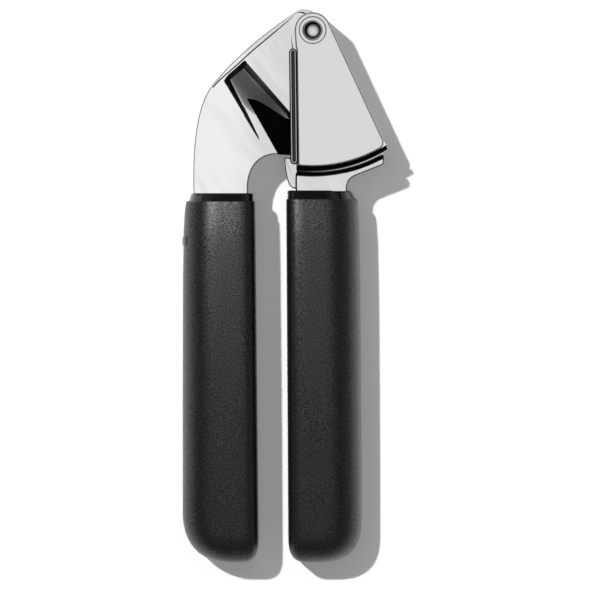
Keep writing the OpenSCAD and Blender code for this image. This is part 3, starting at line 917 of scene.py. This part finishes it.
class BuildWall(bpy.types.Operator):
    """Builds the curved end wall with its rim"""
    bl_idname = "press.wall"
    bl_label = "End wall"

    def execute(self, context):
        looks = context.scene.press_looks
        w = np.linspace(0, np.pi, 9)
        middle, half = (RIM_IN_R + WALL_OUT_R) / 2, (WALL_OUT_R - RIM_IN_R) / 2
        rim = np.stack([middle + half * np.cos(w), RIM_TOP - half * (1 - np.sin(w))], 1)
        inner = CHAMBER_HALF - 0.02
        groove = [[RIM_IN_R, GROOVE_FLOOR], [CHEEK_R, GROOVE_FLOOR], [CHEEK_R, inner], [WALL_IN_R, inner]]
        side = np.vstack([[[WALL_OUT_R, GROOVE_FLOOR]], rim, groove])
        profile = np.vstack([side, side[::-1] * (1, -1)])[::-1]
        rings = wall_sweep(profile, -5.0)
        # Painted shade: the two grooves beside the rim are near black
        low = np.abs(profile[:, 1]) <= CHAMBER_HALF
        deep = low & np.roll(low, -1) & (profile[:, 0] > CHEEK_R - 0.1)
        piece("end_wall_rimmed", [shell(rings)], HOPPER_SIDE, "chrome", once(rim_chrome_shaded, looks),
              "hopper_wall", others=[once(painted_deep_shade, looks)], marks=np.tile(deep, len(rings) - 1))
        return {"FINISHED"}


class BuildArm(bpy.types.Operator):
    """Builds the hopper arm: neck, flange, lip and tang"""
    bl_idname = "press.arm"
    bl_label = "Hopper arm"

    def execute(self, context):
        sizes, looks = context.scene.press_sizes, context.scene.press_looks
        neck, flange, low = 11.05, (22.95, -43.2), -52.1

        def outline(radius, left):
            start, stop = (math.degrees(math.asin(x / radius)) - 90 for x in (left, flange[0]))
            flank = arc((15.0, -50.6), 3.95, 180, 111.7, 24)
            return softened(joined([[left, low], [neck, low]], flank, [flange],
                                   arc((0, 0), radius, stop, start, 60)), 1.2)

        face = stacked(outline(ARM_FACE_R, -5.5), rounded(-ARM_TOP, ARM_TOP, sizes.arm_edge / MM))
        floor = stacked(outline(WALL_OUT_R, -5.5), [(0.02, -GROOVE_FLOOR), (0.02, GROOVE_FLOOR)])
        edge = cubic([[-9.2, -40.9], [-8.9, -45.2], [-8.3, -50.4], [-6.2, -51.0]], 20)
        lip = stacked(softened(joined(edge, [[-4.6, -51.0]], [[-4.6, -45.8]], [[-5.0, -41.4]]), 0.8),
                      rounded(-6.5, 6.5, 0.4))
        tang = block(-2.5, 9, -111.6, -51.0, TANG_HALF)
        shells = [shell(p) for p in (floor, face, lip, tang)]
        # Painted shade: near black on the groove's floor and the neck's outer edge, and the darker wall shade
        # on the rounded edge round the flange
        x, y, _ = centres(shells).T
        marks = ((x < -5.0) & (x > -5.6) & (y < -44) & (y > -52.0)).astype(int)
        first = floor.shape[1] + len(shells[0][2])
        marks[:first] = 1
        rim = np.zeros((face.shape[0] - 1, face.shape[1]), int)
        rim[np.r_[1:6, -6:-1]] = 2
        edge_x, edge_y = (face[0, :, :2] + np.roll(face[0, :, :2], -1, 0)).T / 2
        rim *= (edge_x > 10.5) & (edge_y < -40.5)
        flange_shade = marks[first:first + rim.size]
        flange_shade[:] = np.maximum(flange_shade, rim.ravel())
        piece("arm_casting", shells, HOPPER_SIDE, "satin_chrome", once(satin_casting, looks), "hopper_arm",
              others=[once(painted_deep_shade, looks), once(shaded_wall, looks)], marks=marks)
        return {"FINISHED"}


class BuildPivot(bpy.types.Operator):
    """Builds the riveted pin and the washers under its domed ends"""
    bl_idname = "press.pivot"
    bl_label = "Pivot"

    def execute(self, context):
        looks = context.scene.press_looks
        w = np.linspace(0, np.pi / 2, 8)
        dome = np.stack([2.1 * np.cos(w), CHEEK_TOP - 0.4 + 0.3 * np.sin(w)], 1)
        dome[-1, 0] = 0.02
        shank = SEAT_LEVEL - 0.02
        end = np.vstack([[[PIN_R, shank], [1.72, shank], [1.72, CHEEK_TOP - 0.62]], dome])
        rings = lathe(np.vstack([(end * (1, -1))[::-1], end]))
        # Riveting leaves each dome 0.28 mm off centre, so the gap round it is a crescent
        rings[..., :2] += np.where(np.abs(rings[..., 2:]) > SEAT_LEVEL + 0.1, [0.2, -0.2], 0.0)
        piece("pin_riveted", [shell(rings)], HOPPER_SIDE, "pin_steel", once(ground_steel, looks), "pivot_pin")
        bore, gap, rim, top = 1.76, 2.56, SEAT_R - 0.02, CHEEK_TOP
        washer = lathe([(bore, SEAT_LEVEL), (rim, SEAT_LEVEL), (rim, top - 0.14), (4.26, top - 0.02),
                        (4.1, top), (2.72, top), (2.6, top - 0.08), (gap, top - 0.5), (bore, top - 0.5)])
        shells = [shell(washer, loop=True), shell(mirrored(washer), loop=True)]
        # Painted shade: the recess round each dome, inside the gap's radius, is near black
        piece("washers_recessed", shells, HOPPER_SIDE, "satin_steel", once(brushed_stainless, looks),
              "pivot_washers", others=[once(painted_deep_shade, looks)],
              marks=np.linalg.norm(centres(shells)[:, :2], axis=1) < gap + 0.015)
        return {"FINISHED"}


class BuildLever(bpy.types.Operator):
    """Builds the press lever with its scoop, well, nose and tang"""
    bl_idname = "press.lever"
    bl_label = "Press lever"

    def execute(self, context):
        sizes, looks = context.scene.press_sizes, context.scene.press_looks
        rings, marks = lever_shell(sizes.lever_ledge / MM, sizes.scoop_depth / MM, sizes.well_depth / MM)
        half, edge = LEVER_TOP, 0.2
        nose = lathe([(4.0, -half), (NOSE_R - edge, -half), (NOSE_R, edge - half),
                      (NOSE_R, half - edge), (NOSE_R - edge, half), (4.0, half)])
        tang = block(-35.5, -24, -112.5, -52.0, TANG_HALF)
        points, quads, ends = shell(rings)
        # The end in the nose is curved, so a strip of quads closes it instead of one flat face
        last = ends.pop()
        k = np.arange(len(last) // 2 - 1)
        quads = np.vstack([quads, np.stack([last[k], last[k + 1], last[-2 - k], last[-1 - k]], 1)])
        piece("lever_casting", [(points, quads, ends), shell(nose, loop=True), shell(tang)], LEVER_SIDE,
              "satin_chrome", once(satin_casting, looks), "press_lever",
              others=[once(shaded_wall, looks), once(painted_deep_shade, looks)], marks=marks)
        return {"FINISHED"}


class BuildCores(bpy.types.Operator):
    """Builds the two hard handle cores"""
    bl_idname = "press.cores"
    bl_label = "Handle cores"

    def execute(self, context):
        sizes, looks = context.scene.press_sizes, context.scene.press_looks
        for name, plan, body, node in (("core_right", RIGHT, HOPPER_SIDE, "right_core"),
                                       ("core_left", LEFT, LEVER_SIDE, "left_core")):
            rings = core_shell(plan, sizes.collar_edge / MM)
            piece(name, [shell(rings)], body, "gloss_black", once(gloss_plastic, looks), node)
        return {"FINISHED"}


class BuildGrips(bpy.types.Operator):
    """Builds the two soft grip sleeves"""
    bl_idname = "press.grips"
    bl_label = "Grips"

    def execute(self, context):
        sizes, looks = context.scene.press_sizes, context.scene.press_looks
        for name, plan, body, node in (("sleeve_right", RIGHT, HOPPER_SIDE, "right_grip"),
                                       ("sleeve_left", LEFT, LEVER_SIDE, "left_grip")):
            rings = grip_shell(plan, sizes.grip_rim / MM)
            piece(name, [shell(rings)], body, "soft_black", once(soft_grip, looks), node)
        return {"FINISHED"}


class BuildBadge(bpy.types.Operator):
    """Builds the small plain oval on the left grip's outer side"""
    bl_idname = "press.badge"
    bl_label = "Grip badge"

    def execute(self, context):
        share = np.array([0.02, 0.5, 0.8, 0.93, 1.0, 1.0])
        proud = np.array([0.35, 0.33, 0.26, 0.14, 0.0, -0.6])
        outline = stadium((-67.9, 1.5), (-67.9, 7.0), 1.75)
        centre = outline.mean(0)
        y, z = np.moveaxis(centre + share[:, None, None] * (outline - centre), 2, 0)
        # It follows the grip's side, whose section is a superellipse
        middle, half_width, n = -29.65, 12.1, 2.6
        x = middle - half_width * (1 - np.abs(z / GRIP_HALF) ** n) ** (1 / n) - proud[:, None]
        rings = np.stack([x, y, z], 2)
        piece("badge_oval", [shell(rings[::-1])], LEVER_SIDE, "gloss_black",
              once(gloss_plastic, context.scene.press_looks), "grip_badge")
        return {"FINISHED"}


class FinishKept(bpy.types.Operator):
    """Gives the remaining solids of the frame their finishes"""
    bl_idname = "press.kept"
    bl_label = "Inner parts"

    def execute(self, context):
        looks = context.scene.press_looks
        finishes = {brushed_stainless: ["screen_plate"], polished_chrome: ["plunger_block"],
                    ground_steel: ["cheek_dowels", "arm_dowels", "plunger_screws",
                                   "right_tang_pins", "left_tang_pins"],
                    natural_nylon: ["spacer_washers"], sintered_bronze: ["pivot_bush"]}
        for maker, names in finishes.items():
            for name in names:
                mesh = frame["nodes"][name].data
                mesh.materials.clear()
                mesh.materials.append(once(maker, looks))
        return {"FINISHED"}


# The studio's brightness by height, from level (0) to straight up (1), and how it leans to the lever's side
SKY = ((0.0, 0.02), (0.08, 0.25), (0.3, 0.4), (0.45, 0.3), (0.56, 0.02), (0.72, 0.09), (0.82, 0.21),
       (0.88, 0.25), (0.94, 0.4), (0.975, 0.5))
SKY_LEAN = math.radians(6)
SKY_FILL = 0.12
BACKDROP = 0.9
FLOOR_SPAN = 3.0
FLOOR_GLOW = 0.19
# The camera's height, its place over the floor, and the width it sees in the middle plane, all in metres
EYE_HEIGHT = 6.0
EYE_PLACE = (0.00465, -0.00448)
VIEW_WIDTH = 0.1935
SENSOR = 36


def lamp(name, kind, energy, way, size=0.0, place=(0, 0, 0)):
    """A lamp that shines along way. Its place is in metres from the pivot axis and from the floor."""
    light = bpy.data.lights.new(name, kind)
    light.energy = energy
    if size:
        light.shape = "SQUARE"
        light.size = size
    made = bpy.data.objects.new(name, light)
    made.location = (PIVOT[0] * MM + place[0], PIVOT[1] * MM + place[1], place[2])
    made.rotation_euler = Vector(way).to_track_quat("-Z", "Y").to_euler()
    made.visible_camera = False
    bpy.context.scene.collection.objects.link(made)
    return made


class BuildStage(bpy.types.Operator):
    """Adds the pale floor, the studio light and the camera above the press"""
    bl_idname = "press.stage"
    bl_label = "Floor, light and camera"

    def execute(self, context):
        scene = context.scene
        scene.view_settings.view_transform = "Standard"
        self.lay_floor(scene)
        self.light_world(scene)
        self.set_lamps(scene)
        self.set_camera(scene)
        return {"FINISHED"}

    def lay_floor(self, scene):
        """A white acrylic table, faintly lit from behind."""
        a = FLOOR_SPAN
        mesh = bpy.data.meshes.new("floor")
        mesh.from_pydata([(-a, -a, 0), (a, -a, 0), (a, a, 0), (-a, a, 0)], [], [(0, 1, 2, 3)])
        mesh.materials.append(finished(blank("back_lit_acrylic_table")[0], (0.9, 0.9, 0.9), 1.0, **{
            "Emission Color": (1, 1, 1, 1), "Emission Strength": FLOOR_GLOW}))
        floor = bpy.data.objects.new("floor", mesh)
        scene.collection.objects.link(floor)

    def light_world(self, scene):
        """The room that the metal mirrors, an even fill for matt surfaces and a plain backdrop."""
        world = bpy.data.worlds.new("studio")
        scene.world = world
        world.use_nodes = True
        tree = world.node_tree
        tree.nodes.clear()
        way = add(tree, "ShaderNodeTexCoord").outputs["Generated"]
        up = add(tree, "ShaderNodeVectorMath", {0: way, 1: (-math.sin(SKY_LEAN), 0, math.cos(SKY_LEAN))},
                 operation="DOT_PRODUCT").outputs["Value"]
        ramp = add(tree, "ShaderNodeValToRGB", {0: up})
        while len(ramp.color_ramp.elements) < len(SKY):
            ramp.color_ramp.elements.new(0.5)
        for element, (place, level) in zip(ramp.color_ramp.elements, SKY):
            element.position = place
            element.color = (level, level, level, 1)
        room = add(tree, "ShaderNodeBackground", {"Color": ramp, "Strength": 1.0})
        fill = add(tree, "ShaderNodeBackground", {"Color": (1, 1, 1, 1), "Strength": SKY_FILL})
        backdrop = add(tree, "ShaderNodeBackground", {"Color": (*[BACKDROP] * 3, 1), "Strength": 1.0})
        ray = add(tree, "ShaderNodeLightPath").outputs
        lit = add(tree, "ShaderNodeMixShader", {0: ray["Is Diffuse Ray"], 1: room, 2: fill})
        mixed = add(tree, "ShaderNodeMixShader", {0: ray["Is Camera Ray"], 1: lit, 2: backdrop})
        add(tree, "ShaderNodeOutputWorld", {"Surface": mixed})

    def set_lamps(self, scene):
        """A low key light for the shadows, a softbox above, and a small lamp for the grips' edges only."""
        key = lamp("key", "SUN", 2.7, (8.7, -7.4, -27.5))
        key.data.angle = math.radians(1.5)
        key.visible_glossy = False
        size = 0.2
        lamp("softbox", "AREA", 0.9 * math.pi * size ** 2, (0, 0, -1), size, (-0.008, -0.02, 0.42))
        side = lamp("edge_light", "AREA", 0.14, (0.035, -0.06, -0.11), 0.05, (-0.06, -0.02, 0.135))
        side.visible_diffuse = False
        lit_parts = bpy.data.collections.new("edge_lit")
        for made in scene.collection.all_objects:
            if made.name.startswith(("sleeve_", "core_")):
                lit_parts.objects.link(made)
        side.light_linking.receiver_collection = lit_parts

    def set_camera(self, scene):
        """A long lens straight above the press."""
        camera = bpy.data.cameras.new("camera")
        camera.sensor_width = SENSOR
        camera.lens = SENSOR * (EYE_HEIGHT - PIVOT[2] * MM) / VIEW_WIDTH
        camera.clip_end = 20
        eye = bpy.data.objects.new("camera", camera)
        eye.location = (*EYE_PLACE, EYE_HEIGHT)
        scene.collection.objects.link(eye)
        scene.camera = eye


class PressPanel(bpy.types.Panel):
    """Sizes, colours and build steps of the press"""
    bl_label = "Garlic press"
    bl_idname = "VIEW3D_PT_garlic_press"
    bl_space_type = "VIEW_3D"
    bl_region_type = "UI"
    bl_category = "Press"

    def draw(self, context):
        for group in (context.scene.press_sizes, context.scene.press_looks):
            box = self.layout.box()
            for name in group.__annotations__:
                box.prop(group, name)
        for step in STEPS:
            self.layout.operator(step.bl_idname)


STEPS = (BuildCheeks, BuildRails, BuildWall, BuildArm, BuildPivot, BuildLever, BuildCores, BuildGrips,
         BuildBadge, FinishKept, BuildStage)
CLASSES = (PressSizes, PressLooks, *STEPS, PressPanel)


def register():
    for item in CLASSES:
        bpy.utils.register_class(item)
    bpy.types.Scene.press_sizes = PointerProperty(type=PressSizes)
    bpy.types.Scene.press_looks = PointerProperty(type=PressLooks)


def unregister():
    del bpy.types.Scene.press_looks
    del bpy.types.Scene.press_sizes
    for item in reversed(CLASSES):
        bpy.utils.unregister_class(item)


def main():
    register()
    for step in STEPS:
        group, name = step.bl_idname.split(".")
        getattr(getattr(bpy.ops, group), name)()


if __name__ == "__main__":
    main()
